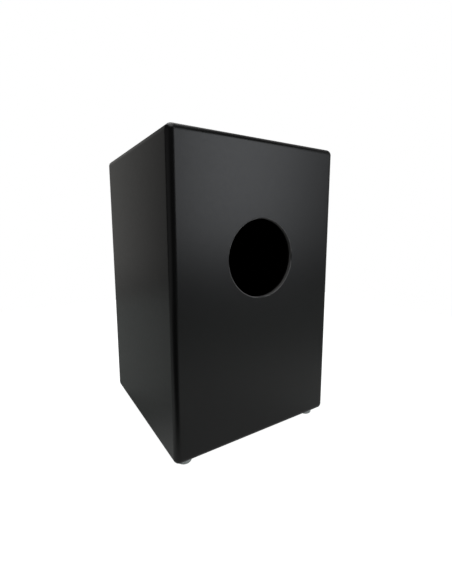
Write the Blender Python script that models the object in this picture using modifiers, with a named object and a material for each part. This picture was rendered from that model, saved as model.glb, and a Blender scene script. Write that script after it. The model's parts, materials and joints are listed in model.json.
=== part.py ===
"""Cajon: a box drum that is sat on and played with the hands.

Five panels make the box: two sides, a top and a bottom rabbeted over them, and a rear panel with the
sound port. The thin tapa is screwed to battens at the front. Behind it a snare bar turns in two blocks,
and its two fans of wires lean on the tapa. Units are metres. The origin is on the floor at the centre
of the box, +Z is up, the tapa faces -Y and the port faces +Y.
"""

import math

import bmesh
import bpy
from mathutils import Matrix, Vector

# The box
BODY_WIDTH = 0.300
BODY_HEIGHT = 0.467
SHELL_DEPTH = 0.300  # rear face to the plane that the tapa is screwed on
PANEL_THICKNESS = 0.012
REAR_THICKNESS = 0.0095
TAPA_THICKNESS = 0.003
EDGE_RADIUS = 0.0092
RABBET_DEPTH = 0.005  # how far the side panels enter the top and the bottom
JOINT_GAP = 0.0003  # between pieces that touch

# Sides of the faceted round pieces
SCREW_SIDES = 12
ROUND_SIDES = 24
PORT_SIDES = 60

# The sound port in the rear panel
PORT_RADIUS = 0.060
PORT_BELOW_TOP = 0.1765
PORT_LIP_RADIUS = 0.0008

# Strips glued inside the front and the rear edges
BATTEN_WIDTH = 0.018
BATTEN_DEPTH = 0.015
REAR_STRIP = 0.014
STRIP_CHAMFER = 0.0015

# Tapa screws
TAPA_SCREWS_ACROSS = 4  # along the top and along the bottom, corners included
TAPA_SCREWS_UP = 5  # along each side, corners included
TAPA_SCREW_LENGTH = 0.016
WOOD_SCREW_RADIUS = 0.00175
WOOD_SCREW_HEAD_RADIUS = 0.0035
HEAD_RIM = 0.0003
HEAD_RECESS = 0.0002  # how far a head sits below the face around it

# Feet
FOOT_HEIGHT = 0.0112
FOOT_TOP_RADIUS = 0.0125
FOOT_BOTTOM_RADIUS = 0.0115
FOOT_ROUNDING = 0.002
FOOT_INSET = 0.0235  # foot centre from the outer faces
FOOT_RECESS_RADIUS = 0.0060
FOOT_RECESS_DEPTH = 0.006
FOOT_SCREW_RADIUS = 0.0020
FOOT_SCREW_LENGTH = 0.015
PAN_HEAD_RADIUS = 0.0042
PAN_HEAD_HEIGHT = 0.0022
WASHER_RADIUS = 0.0053
WASHER_THICKNESS = 0.001

# Snare bar and its two blocks
BAR_BELOW_TOP = 0.150
BAR_SIZE = 0.018
BAR_CHAMFER = 0.0015
TENON_RADIUS = 0.006
TENON_CLEARANCE = 0.00015
BAR_END_PLAY = 0.0006
BLOCK_THICKNESS = 0.028
BLOCK_DEPTH = 0.034
BLOCK_HEIGHT = 0.046
BLOCK_CHAMFER = 0.002
BLOCK_SCREW_LENGTH = 0.034
BLOCK_SCREW_RISE = 0.0155  # screw centre from the bar's axis

# Snare wires
WIRES_PER_FAN = 10
WIRE_RADIUS = 0.0011
WIRE_LENGTH = 0.100
FAN_ROOT_PITCH = 0.0056
FAN_TIP_PITCH = 0.0078
FAN_CENTRE = 0.066  # fan centre from the middle of the bar
WIRE_PRESS = 0.0003  # between a wire's tip and the tapa
PLATE_WIDTH = 0.070
PLATE_HEIGHT = 0.014
PLATE_THICKNESS = 0.0012
PLATE_SCREW_RADIUS = 0.0013
PLATE_SCREW_HEAD_RADIUS = 0.0027
PLATE_SCREW_HEAD_HEIGHT = 0.0016
PLATE_SCREW_LENGTH = 0.012
PLATE_SCREW_INSET = 0.0045
WIRE_SINK = 0.0004  # how far a wire lies in the solder on its plate
WIRE_ROOT_INSET = 0.003  # from a wire's root up from the plate's lower edge

# Wing screw that locks the bar
LOCK_SCREW_RADIUS = 0.0025
LOCK_SCREW_HUB_RADIUS = 0.0048
LOCK_SCREW_HUB_HEIGHT = 0.0075
LOCK_SCREW_STANDOFF = 0.002  # hub above the insert
WING_RADIUS = 0.0058
WING_REACH = 0.0078
WING_RISE = 0.0065
WING_THICKNESS = 0.0022
INSERT_RADIUS = 0.0042
INSERT_LENGTH = 0.0095
LOCK_SCREW_FROM_WALL = 0.019

# Where the main planes lie
FRONT_Y = -(SHELL_DEPTH + TAPA_THICKNESS) / 2
REAR_Y = -FRONT_Y
TAPA_BACK_Y = FRONT_Y + TAPA_THICKNESS
SHELL_FRONT_Y = TAPA_BACK_Y + JOINT_GAP
REAR_INNER_Y = REAR_Y - REAR_THICKNESS
SHELL_REAR_Y = REAR_INNER_Y - JOINT_GAP
SIDE_X = BODY_WIDTH / 2
INNER_X = SIDE_X - PANEL_THICKNESS
BODY_BOTTOM_Z = FOOT_HEIGHT
BODY_TOP_Z = BODY_BOTTOM_Z + BODY_HEIGHT
FLOOR_Z = BODY_BOTTOM_Z + PANEL_THICKNESS
CEILING_Z = BODY_TOP_Z - PANEL_THICKNESS
LIP = PANEL_THICKNESS - RABBET_DEPTH
PORT_Z = BODY_TOP_Z - PORT_BELOW_TOP
BATTEN_BACK_Y = SHELL_FRONT_Y + BATTEN_DEPTH
BAR_Z = BODY_TOP_Z - BAR_BELOW_TOP
BLOCK_FRONT_Y = BATTEN_BACK_Y + JOINT_GAP
BAR_Y = BLOCK_FRONT_Y + BLOCK_DEPTH / 2
BLOCK_INNER_X = INNER_X - JOINT_GAP - BLOCK_THICKNESS
WIRE_ROOT_Z = WIRE_ROOT_INSET - PLATE_HEIGHT / 2  # from the bar's axis, along the wires
WIRE_TIP_Z = WIRE_ROOT_Z + WIRE_LENGTH
OVERSIZE = 0.020  # how far slabs and cutters run past what they meet

SIDES = (("left", -1), ("right", 1))
ENDS = (("front", -1), ("rear", 1))

PARTS = "cajon"
CUTTERS = "cutters"


# Scene and materials


def clear_scene():
    for obj in list(bpy.data.objects):
        bpy.data.objects.remove(obj, do_unlink=True)
    for name in (PARTS, CUTTERS):
        bpy.context.scene.collection.children.link(bpy.data.collections.new(name))


def finish(name, colour, roughness, metallic=0.0):
    """A Principled material, made once for each name."""
    found = bpy.data.materials.get(name)
    if found:
        return found
    made = bpy.data.materials.new(name)
    made.use_nodes = True
    shader = made.node_tree.nodes["Principled BSDF"]
    shader.inputs["Base Color"].default_value = (*colour, 1.0)
    shader.inputs["Roughness"].default_value = roughness
    shader.inputs["Metallic"].default_value = metallic
    made.diffuse_color = (*colour, 1.0)
    return made


def black_lacquer():
    return finish("black_lacquer", (0.018, 0.018, 0.019), 0.45)


def black_tapa():
    return finish("black_tapa", (0.022, 0.020, 0.019), 0.40)


def stained_strip():
    return finish("stained_strip", (0.030, 0.026, 0.022), 0.75)


def stained_hardwood():
    return finish("stained_hardwood", (0.040, 0.032, 0.026), 0.60)


def black_steel():
    return finish("black_steel", (0.03, 0.03, 0.03), 0.40, 1.0)


def bright_steel():
    return finish("bright_steel", (0.62, 0.62, 0.60), 0.30, 1.0)


def brass():
    return finish("brass", (0.70, 0.52, 0.22), 0.35, 1.0)


def grey_rubber():
    return finish("grey_rubber", (0.16, 0.17, 0.17), 0.75)


# Shapes


def add_object(name, mesh, collection, material=None, location=(0, 0, 0)):
    obj = bpy.data.objects.new(name, mesh)
    bpy.data.collections[collection].objects.link(obj)
    obj.location = location
    if material and not mesh.materials:
        mesh.materials.append(material)
    if collection == CUTTERS:
        obj.hide_render = True
        obj.display_type = "WIRE"
    return obj


def add_box(name, low, high, material=None, chamfer=0.0):
    """A box between two corners. Without a material it is a cutter."""
    low, high = Vector(low), Vector(high)
    mesh = bpy.data.meshes.new(name)
    shape = bmesh.new()
    bmesh.ops.create_cube(shape, size=1.0)
    bmesh.ops.scale(shape, vec=high - low, verts=shape.verts)
    shape.to_mesh(mesh)
    shape.free()
    place = (low + high) / 2
    obj = add_object(name, mesh, PARTS if material else CUTTERS, material, place)
    if chamfer:
        bevel = obj.modifiers.new("chamfer", "BEVEL")
        bevel.width = chamfer
        bevel.segments = 1
    return obj


def add_cylinder(name, radius, length, segments, material=None):
    """A cylinder along Z, centred on its object's origin."""
    mesh = bpy.data.meshes.new(name)
    shape = bmesh.new()
    bmesh.ops.create_cone(
        shape, cap_ends=True, segments=segments, radius1=radius, radius2=radius, depth=length
    )
    shape.to_mesh(mesh)
    shape.free()
    return add_object(name, mesh, PARTS if material else CUTTERS, material)


def add_turned(name, profile, steps, material=None, ring=False):
    """A profile of (radius, height) points turned about Z. It runs down its outer side.

    A ring's profile is a closed loop clear of the axis. Any other starts and ends on the axis.
    """
    mesh = bpy.data.meshes.new(name)
    shape = bmesh.new()
    points = [shape.verts.new((radius, 0.0, height)) for radius, height in profile]
    pairs = list(zip(points, points[1:]))
    if ring:
        pairs.append((points[-1], points[0]))
    for pair in pairs:
        shape.edges.new(pair)
    shape.to_mesh(mesh)
    shape.free()
    obj = add_object(name, mesh, PARTS if material else CUTTERS, material)
    screw = obj.modifiers.new("turn", "SCREW")
    screw.axis = "Z"
    screw.angle = math.tau
    screw.steps = steps
    screw.render_steps = steps
    screw.use_merge_vertices = True
    screw.merge_threshold = 0.00005
    return obj


def arc(centre, radius, start, end, segments):
    """(radius, height) points of an arc about centre, with angles in degrees from the outward side."""
    points = []
    for i in range(segments + 1):
        angle = math.radians(start + (end - start) * i / segments)
        points.append((centre[0] + radius * math.cos(angle), centre[1] + radius * math.sin(angle)))
    return points


def combine(obj, other, operation):
    modifier = obj.modifiers.new(operation.lower() + "_" + other.name, "BOOLEAN")
    modifier.operation = operation
    modifier.solver = "EXACT"
    modifier.object = other


def fixed_mesh(obj):
    """The object's shape with its modifiers, as a mesh that copies can share. The object goes."""
    bpy.context.view_layer.update()
    graph = bpy.context.evaluated_depsgraph_get()
    mesh = bpy.data.meshes.new_from_object(obj.evaluated_get(graph))
    mesh.name = obj.name
    bpy.data.objects.remove(obj, do_unlink=True)
    mesh.shade_smooth()
    mesh.set_sharp_from_angle(angle=math.radians(30))
    return mesh


def facing(place, direction):
    """Stands a shape at a place with its +Z turned to a direction."""
    turn = Vector((0.0, 0.0, 1.0)).rotation_difference(Vector(direction))
    return Matrix.Translation(place) @ turn.to_matrix().to_4x4()


def add_copies(mesh, places, parent=None):
    """An object for each name in places, all with one mesh."""
    for name, place in places.items():
        obj = add_object(name, mesh, PARTS)
        obj.matrix_basis = place
        obj.parent = parent


def add_holes(name, mesh, places, parent=None):
    """One cutter that holds a copy of the mesh at each place."""
    joined = bpy.data.meshes.new(name)
    shape = bmesh.new()
    for place in places.values():
        copy = mesh.copy()
        copy.transform(place)
        shape.from_mesh(copy)
        bpy.data.meshes.remove(copy)
    shape.to_mesh(joined)
    shape.free()
    holes = add_object(name, joined, CUTTERS)
    holes.parent = parent
    return holes


# Fasteners, each with its head towards +Z and the face it bears on at height 0


def countersunk_profile(length, radius, head_radius, clearance=0.0):
    cone = head_radius - radius
    tip = 2 * radius if clearance == 0 else 0
    above = OVERSIZE if clearance else 0.0
    shank = radius + clearance
    return [
        (0.0, above),
        (head_radius + clearance, above),
        (head_radius + clearance, -HEAD_RIM),
        (shank, -HEAD_RIM - cone),
        (shank, tip - length - clearance),
        (0.0, -length - clearance),
    ]


def pan_profile(length, radius, head_radius, head_height):
    crown = head_height / 2
    return [
        (0.0, head_height),
        (0.7 * head_radius, head_height - 0.2 * crown),
        (head_radius, crown),
        (head_radius, 0.0),
        (radius, 0.0),
        (radius, 2 * radius - length),
        (0.0, -length),
    ]


def fastener_mesh(name, profile, material, recess_size, recess_depth, top):
    """A turned fastener with a cross recess in its head."""
    body = add_turned(name, profile, SCREW_SIDES, material)
    slot = recess_size / 4
    cutters = []
    for across, along in ((recess_size, slot), (slot, recess_size)):
        low = (-across / 2, -along / 2, top - recess_depth)
        high = (across / 2, along / 2, top + OVERSIZE)
        cutters.append(add_box(name + "_recess", low, high))
        combine(body, cutters[-1], "DIFFERENCE")
    mesh = fixed_mesh(body)
    for cutter in cutters:
        bpy.data.objects.remove(cutter, do_unlink=True)
    return mesh


def wood_screw_meshes(length):
    """A countersunk screw, and the hole that it sits in."""
    profile = countersunk_profile(length, WOOD_SCREW_RADIUS, WOOD_SCREW_HEAD_RADIUS)
    screw = fastener_mesh("wood_screw", profile, black_steel(), 0.0036, 0.0014, 0.0)
    profile = countersunk_profile(length, WOOD_SCREW_RADIUS, WOOD_SCREW_HEAD_RADIUS, JOINT_GAP)
    return screw, fixed_mesh(add_turned("wood_screw_hole", profile, SCREW_SIDES))


def bore_mesh(radius, depth):
    """The hole for a plain shank, as far above the surface as it goes below."""
    bore = add_cylinder("bore", radius + JOINT_GAP, 2 * (depth + JOINT_GAP), SCREW_SIDES)
    return fixed_mesh(bore)


# The shell


def add_envelope():
    """The outer shape of the whole box, with every edge rounded. The panels keep what lies inside it."""
    low = (-SIDE_X, FRONT_Y, BODY_BOTTOM_Z)
    high = (SIDE_X, REAR_Y, BODY_TOP_Z)
    envelope = add_box("envelope", low, high)
    bevel = envelope.modifiers.new("rounding", "BEVEL")
    bevel.width = EDGE_RADIUS
    bevel.segments = 6
    return envelope


def add_side_panels(envelope):
    panels = {}
    for side, sign in SIDES:
        inner, outer = sorted((sign * INNER_X, sign * (SIDE_X + OVERSIZE)))
        low = (inner, SHELL_FRONT_Y, BODY_BOTTOM_Z + LIP + JOINT_GAP)
        high = (outer, SHELL_REAR_Y, BODY_TOP_Z - LIP - JOINT_GAP)
        panels[side] = add_box(side + "_side_panel", low, high, black_lacquer())
        combine(panels[side], envelope, "INTERSECT")
    return panels


def add_end_panel(name, outer_z, inner_z, envelope):
    """The top or the bottom: full width outside, rabbeted to fit between the side panels inside."""
    down = inner_z < outer_z
    step = OVERSIZE if down else -OVERSIZE
    low_z, high_z = sorted((outer_z + step, inner_z))
    edge = SIDE_X + OVERSIZE
    low = (-edge, SHELL_FRONT_Y, low_z)
    high = (edge, SHELL_REAR_Y, high_z)
    panel = add_box(name, low, high, black_lacquer())
    combine(panel, envelope, "INTERSECT")
    lip_z = outer_z - LIP if down else outer_z + LIP
    shelf_low, shelf_high = sorted((lip_z, inner_z - step))
    for side, sign in SIDES:
        near, far = sorted((sign * (INNER_X - JOINT_GAP), sign * (edge + OVERSIZE)))
        rabbet = add_box(
            name + "_rabbet_" + side,
            (near, SHELL_FRONT_Y - OVERSIZE, shelf_low),
            (far, SHELL_REAR_Y + OVERSIZE, shelf_high),
        )
        combine(panel, rabbet, "DIFFERENCE")
    return panel


def add_port_cutter():
    """The hole through the rear panel, flared at both faces into a rounded lip."""
    wide = PORT_RADIUS + PORT_LIP_RADIUS
    half = REAR_THICKNESS / 2
    lip = half - PORT_LIP_RADIUS
    upper = arc((wide, lip), PORT_LIP_RADIUS, 90, 180, 2)
    lower = arc((wide, -lip), PORT_LIP_RADIUS, 180, 270, 2)
    ends = half + OVERSIZE
    profile = [(0.0, ends), (wide, ends), *upper, *lower, (wide, -ends), (0.0, -ends)]
    cutter = add_turned("port_cutter", profile, PORT_SIDES)
    cutter.location = (0.0, REAR_Y - half, PORT_Z)
    cutter.rotation_euler = (math.radians(90), 0.0, 0.0)
    return cutter


def add_rear_panel(envelope):
    edge = SIDE_X + OVERSIZE
    low = (-edge, REAR_INNER_Y, BODY_BOTTOM_Z - OVERSIZE)
    high = (edge, REAR_Y + OVERSIZE, BODY_TOP_Z + OVERSIZE)
    panel = add_box("rear_panel", low, high, black_lacquer())
    combine(panel, envelope, "INTERSECT")
    combine(panel, add_port_cutter(), "DIFFERENCE")
    return panel


def add_tapa(envelope):
    edge = SIDE_X + OVERSIZE
    low = (-edge, FRONT_Y - OVERSIZE, BODY_BOTTOM_Z - OVERSIZE)
    high = (edge, TAPA_BACK_Y, BODY_TOP_Z + OVERSIZE)
    tapa = add_box("tapa", low, high, black_tapa())
    combine(tapa, envelope, "INTERSECT")
    return tapa


def add_frame(prefix, suffixes, y_range, width):
    """Four strips glued round the inside: two uprights, and two rails between them."""
    strips = {}
    wall = INNER_X - JOINT_GAP
    bottom, top = FLOOR_Z + JOINT_GAP, CEILING_Z - JOINT_GAP
    low_y, high_y = y_range
    for side, sign in SIDES:
        near, far = sorted((sign * (wall - width), sign * wall))
        name = prefix + suffixes + "_" + side
        low, high = (near, low_y, bottom), (far, high_y, top)
        strips[side] = add_box(name, low, high, stained_strip(), STRIP_CHAMFER)
    reach = wall - width - JOINT_GAP
    for end, low_z, high_z in (("bottom", bottom, bottom + width), ("top", top - width, top)):
        name = prefix + suffixes + "_" + end
        low, high = (-reach, low_y, low_z), (reach, high_y, high_z)
        strips[end] = add_box(name, low, high, stained_strip(), STRIP_CHAMFER)
    return strips


def tapa_screw_places():
    """A row along the top, a row along the bottom, and the sides between them."""
    across = INNER_X - JOINT_GAP - BATTEN_WIDTH / 2
    low = FLOOR_Z + JOINT_GAP + BATTEN_WIDTH / 2
    high = CEILING_Z - JOINT_GAP - BATTEN_WIDTH / 2
    points = {}
    for end, z in (("bottom", low), ("top", high)):
        for i in range(TAPA_SCREWS_ACROSS):
            x = across * (2 * i / (TAPA_SCREWS_ACROSS - 1) - 1)
            points[f"tapa_screw_{end}_{i + 1}"] = (x, z)
    for side, sign in SIDES:
        for i in range(1, TAPA_SCREWS_UP - 1):
            z = low + (high - low) * i / (TAPA_SCREWS_UP - 1)
            points[f"tapa_screw_{side}_{i}"] = (sign * across, z)
    y = FRONT_Y + HEAD_RECESS
    return {name: facing((x, y, z), (0, -1, 0)) for name, (x, z) in points.items()}


def add_tapa_screws(pieces):
    """The screws round the tapa, and their holes through these pieces."""
    screw, hole = wood_screw_meshes(TAPA_SCREW_LENGTH)
    places = tapa_screw_places()
    add_copies(screw, places)
    holes = add_holes("tapa_screw_holes", hole, places)
    for piece in pieces:
        combine(piece, holes, "DIFFERENCE")


# The feet


def foot_mesh():
    hole = FOOT_SCREW_RADIUS + JOINT_GAP
    top = FOOT_HEIGHT - JOINT_GAP
    mouth = FOOT_RECESS_RADIUS + FOOT_ROUNDING / 4
    rounding = arc(
        (FOOT_BOTTOM_RADIUS - FOOT_ROUNDING, FOOT_ROUNDING), FOOT_ROUNDING, 0, -90, 3
    )
    profile = [
        (hole, top),
        (FOOT_TOP_RADIUS, top),
        *rounding,
        (mouth, 0.0),
        (FOOT_RECESS_RADIUS, FOOT_ROUNDING / 4),
        (FOOT_RECESS_RADIUS, FOOT_RECESS_DEPTH),
        (hole, FOOT_RECESS_DEPTH),
    ]
    return turned_mesh("rubber_foot", profile, grey_rubber())


def washer_mesh():
    hole = FOOT_SCREW_RADIUS + JOINT_GAP
    half = WASHER_THICKNESS / 2
    profile = [(hole, half), (WASHER_RADIUS, half), (WASHER_RADIUS, -half), (hole, -half)]
    return turned_mesh("foot_washer", profile, bright_steel())


def turned_mesh(name, profile, material):
    """The shared mesh of a turned ring."""
    return fixed_mesh(add_turned(name, profile, ROUND_SIDES, material, ring=True))


def foot_screw_mesh():
    profile = pan_profile(
        FOOT_SCREW_LENGTH, FOOT_SCREW_RADIUS, PAN_HEAD_RADIUS, PAN_HEAD_HEIGHT
    )
    return fastener_mesh(
        "foot_screw", profile, bright_steel(), 0.0044, 0.0014, PAN_HEAD_HEIGHT
    )


def foot_places(prefix, z, direction=(0, 0, 1)):
    places = {}
    for end, end_sign in ENDS:
        for side, sign in SIDES:
            x, y = sign * (SIDE_X - FOOT_INSET), end_sign * (REAR_Y - FOOT_INSET)
            places[f"{prefix}_{end}_{side}"] = facing((x, y, z), direction)
    return places


def add_feet(bottom_panel):
    """A foot under each corner, held by a screw and a washer inside its recess."""
    washer_z = FOOT_RECESS_DEPTH - JOINT_GAP - WASHER_THICKNESS / 2
    bearing_z = washer_z - WASHER_THICKNESS / 2 - JOINT_GAP
    add_copies(foot_mesh(), foot_places("foot", 0.0))
    add_copies(washer_mesh(), foot_places("foot_washer", washer_z))
    screws = foot_places("foot_screw", bearing_z, (0, 0, -1))
    add_copies(foot_screw_mesh(), screws)
    bore = bore_mesh(FOOT_SCREW_RADIUS, FOOT_SCREW_LENGTH)
    combine(bottom_panel, add_holes("foot_screw_holes", bore, screws), "DIFFERENCE")


# The snare


def fan_lean():
    """The lean that brings the tips of the wires to the back of the tapa."""
    offset = BAR_SIZE / 2 + JOINT_GAP + PLATE_THICKNESS - WIRE_SINK + WIRE_RADIUS
    to_tapa = BAR_Y - TAPA_BACK_Y - WIRE_RADIUS - WIRE_PRESS
    return math.asin(to_tapa / math.hypot(offset, WIRE_TIP_Z)) - math.atan2(offset, WIRE_TIP_Z)


def add_snare_pivot():
    """An empty on the bar's axis. What it carries leans towards the tapa by the fan's lean."""
    pivot = bpy.data.objects.new("snare_pivot", None)
    bpy.data.collections[PARTS].objects.link(pivot)
    pivot.location = (0.0, BAR_Y, BAR_Z)
    pivot.rotation_euler = (fan_lean(), 0.0, 0.0)
    return pivot


def add_snare_bar(pivot):
    """A square bar with a round tenon at each end, all in one piece."""
    half = BAR_SIZE / 2
    reach = BLOCK_INNER_X - BAR_END_PLAY
    low, high = (-reach, -half, -half), (reach, half, half)
    bar = add_box("snare_bar", low, high, stained_hardwood(), BAR_CHAMFER)
    length = 2 * (INNER_X - BAR_END_PLAY)
    tenon = add_cylinder("snare_bar_tenon", TENON_RADIUS, length, ROUND_SIDES)
    tenon.rotation_euler = (0.0, math.radians(90), 0.0)
    combine(bar, tenon, "UNION")
    for obj in (bar, tenon):
        obj.parent = pivot
    return bar


def wire_strands(name, centre, front):
    """The strands of one fan, spreading from the plate to their tips."""
    mesh = bpy.data.meshes.new(name)
    shape = bmesh.new()
    middle = (WIRES_PER_FAN - 1) / 2
    for i in range(WIRES_PER_FAN):
        root = Vector((centre + (i - middle) * FAN_ROOT_PITCH, front, WIRE_ROOT_Z))
        tip = Vector((centre + (i - middle) * FAN_TIP_PITCH, front, WIRE_TIP_Z))
        turn = (tip - root).to_track_quat("Z", "Y").to_matrix().to_4x4()
        place = Matrix.Translation((root + tip) / 2) @ turn
        bmesh.ops.create_cone(
            shape,
            cap_ends=True,
            segments=8,
            radius1=WIRE_RADIUS,
            radius2=WIRE_RADIUS,
            depth=(tip - root).length,
            matrix=place,
        )
    shape.to_mesh(mesh)
    shape.free()
    return add_object(name, mesh, CUTTERS)


def add_snare_fan(side, sign, pivot, bar):
    """A steel plate with its wires soldered on, held to the bar by two screws."""
    centre = sign * FAN_CENTRE
    back = -BAR_SIZE / 2 - JOINT_GAP
    front = back - PLATE_THICKNESS
    low = (centre - PLATE_WIDTH / 2, front, -PLATE_HEIGHT / 2)
    high = (centre + PLATE_WIDTH / 2, back, PLATE_HEIGHT / 2)
    fan = add_box("snare_wires_" + side, low, high, bright_steel())
    strands = wire_strands("strands_" + side, centre, front + WIRE_SINK - WIRE_RADIUS)
    combine(fan, strands, "UNION")
    for obj in (fan, strands):
        obj.parent = pivot
    screws = {}
    for end, toward in (("inner", -sign), ("outer", sign)):
        x = centre + toward * (PLATE_WIDTH / 2 - PLATE_SCREW_INSET)
        screws[f"plate_screw_{side}_{end}"] = facing((x, front - JOINT_GAP, 0.0), (0, -1, 0))
    add_copies(plate_screw_mesh(), screws, pivot)
    bore = bore_mesh(PLATE_SCREW_RADIUS, PLATE_SCREW_LENGTH)
    holes = add_holes(f"plate_screw_holes_{side}", bore, screws, pivot)
    for piece in (fan, bar):
        combine(piece, holes, "DIFFERENCE")


def plate_screw_mesh():
    profile = pan_profile(
        PLATE_SCREW_LENGTH, PLATE_SCREW_RADIUS, PLATE_SCREW_HEAD_RADIUS, PLATE_SCREW_HEAD_HEIGHT
    )
    return fastener_mesh(
        "plate_screw", profile, bright_steel(), 0.0028, 0.0009, PLATE_SCREW_HEAD_HEIGHT
    )


def add_bearing_block(side, sign, side_panel):
    """A block that a tenon of the bar turns in, screwed to the side panel."""
    near, far = sorted((sign * BLOCK_INNER_X, sign * (INNER_X - JOINT_GAP)))
    half = BLOCK_HEIGHT / 2
    block = add_box(
        "snare_block_" + side,
        (near, BLOCK_FRONT_Y, BAR_Z - half),
        (far, BLOCK_FRONT_Y + BLOCK_DEPTH, BAR_Z + half),
        stained_hardwood(),
        BLOCK_CHAMFER,
    )
    bore = add_cylinder(
        "snare_bore_" + side,
        TENON_RADIUS + TENON_CLEARANCE,
        BLOCK_THICKNESS + 2 * OVERSIZE,
        ROUND_SIDES,
    )
    bore.location = ((near + far) / 2, BAR_Y, BAR_Z)
    bore.rotation_euler = (0.0, math.radians(90), 0.0)
    combine(block, bore, "DIFFERENCE")
    screw, hole = wood_screw_meshes(BLOCK_SCREW_LENGTH)
    head_x = sign * (BLOCK_INNER_X + HEAD_RECESS)
    screws = {}
    for level, rise in (("lower", -BLOCK_SCREW_RISE), ("upper", BLOCK_SCREW_RISE)):
        place = facing((head_x, BAR_Y, BAR_Z + rise), (-sign, 0, 0))
        screws[f"block_screw_{side}_{level}"] = place
    add_copies(screw, screws)
    holes = add_holes(f"block_screw_holes_{side}", hole, screws)
    for piece in (block, side_panel):
        combine(piece, holes, "DIFFERENCE")
    return block


def lock_screw_place():
    """Where the wing screw's axis, which runs along Y, meets the back of the right block."""
    return Vector((INNER_X - LOCK_SCREW_FROM_WALL, BLOCK_FRONT_Y + BLOCK_DEPTH, BAR_Z))


def add_lock_insert(block):
    """The threaded brass insert in the back of the right block, and its hole down to the tenon."""
    outer = INSERT_RADIUS
    hole_radius = LOCK_SCREW_RADIUS + JOINT_GAP
    profile = [(hole_radius, 0.0), (outer, 0.0), (outer, -INSERT_LENGTH), (hole_radius, -INSERT_LENGTH)]
    insert = add_turned("lock_screw_insert", profile, ROUND_SIDES, brass(), ring=True)
    seat = add_cylinder(
        "insert_seat", outer + JOINT_GAP, 2 * (INSERT_LENGTH + JOINT_GAP), ROUND_SIDES
    )
    way = add_cylinder("lock_screw_way", hole_radius, BLOCK_DEPTH, SCREW_SIDES)
    for cutter in (seat, way):
        cutter.location = lock_screw_place()
        cutter.rotation_euler = (math.radians(-90), 0.0, 0.0)
        combine(block, cutter, "DIFFERENCE")
    insert.location = lock_screw_place() - Vector((0.0, HEAD_RECESS, 0.0))
    insert.rotation_euler = (math.radians(-90), 0.0, 0.0)


def add_lock_screw():
    """The wing screw: its tip stops just short of the tenon, and its two wings lie along X."""
    tip = -(BLOCK_DEPTH / 2 - TENON_RADIUS - JOINT_GAP)
    base = LOCK_SCREW_STANDOFF
    top = base + LOCK_SCREW_HUB_HEIGHT
    profile = [
        (0.0, top),
        (0.75 * LOCK_SCREW_HUB_RADIUS, top),
        (LOCK_SCREW_HUB_RADIUS, base),
        (LOCK_SCREW_RADIUS, base),
        (LOCK_SCREW_RADIUS, tip + 0.3 * LOCK_SCREW_RADIUS),
        (0.7 * LOCK_SCREW_RADIUS, tip),
        (0.0, tip),
    ]
    screw = add_turned("snare_lock_screw", profile, ROUND_SIDES, bright_steel())
    screw.location = lock_screw_place()
    screw.rotation_euler = (math.radians(-90), 0.0, 0.0)
    for side, sign in SIDES:
        wing = add_cylinder("wing_" + side, WING_RADIUS, WING_THICKNESS, ROUND_SIDES)
        wing.parent = screw
        wing.location = (sign * WING_REACH, 0.0, base + WING_RISE)
        wing.rotation_euler = (math.radians(90), 0.0, 0.0)
        combine(screw, wing, "UNION")


def add_snare(side_panels):
    pivot = add_snare_pivot()
    bar = add_snare_bar(pivot)
    for side, sign in SIDES:
        add_snare_fan(side, sign, pivot, bar)
        block = add_bearing_block(side, sign, side_panels[side])
    add_lock_insert(block)
    add_lock_screw()


def build():
    clear_scene()
    envelope = add_envelope()
    side_panels = add_side_panels(envelope)
    add_end_panel("top_panel", BODY_TOP_Z, CEILING_Z, envelope)
    bottom_panel = add_end_panel("bottom_panel", BODY_BOTTOM_Z, FLOOR_Z, envelope)
    add_rear_panel(envelope)
    battens = add_frame("front", "_batten", (SHELL_FRONT_Y, BATTEN_BACK_Y), BATTEN_WIDTH)
    add_frame("rear", "_strip", (SHELL_REAR_Y - REAR_STRIP, SHELL_REAR_Y), REAR_STRIP)
    tapa = add_tapa(envelope)
    add_tapa_screws((tapa, *battens.values()))
    add_feet(bottom_panel)
    add_snare(side_panels)


build()
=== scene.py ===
"""The looks of a cajon, a box drum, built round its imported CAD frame.

The shell's boards, the tapa, the fasteners, the feet and the snare are remade finer than the CAD
solids that they stand for, and the battens, strips, blocks and bar keep their CAD shapes under better
materials. Every length is in metres, and places come from the frame.
"""

from __future__ import annotations

import json
import logging
import math
from collections.abc import Iterable
from dataclasses import dataclass, field
from enum import Enum

import bmesh
import bpy
from mathutils import Matrix, Vector


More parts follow.
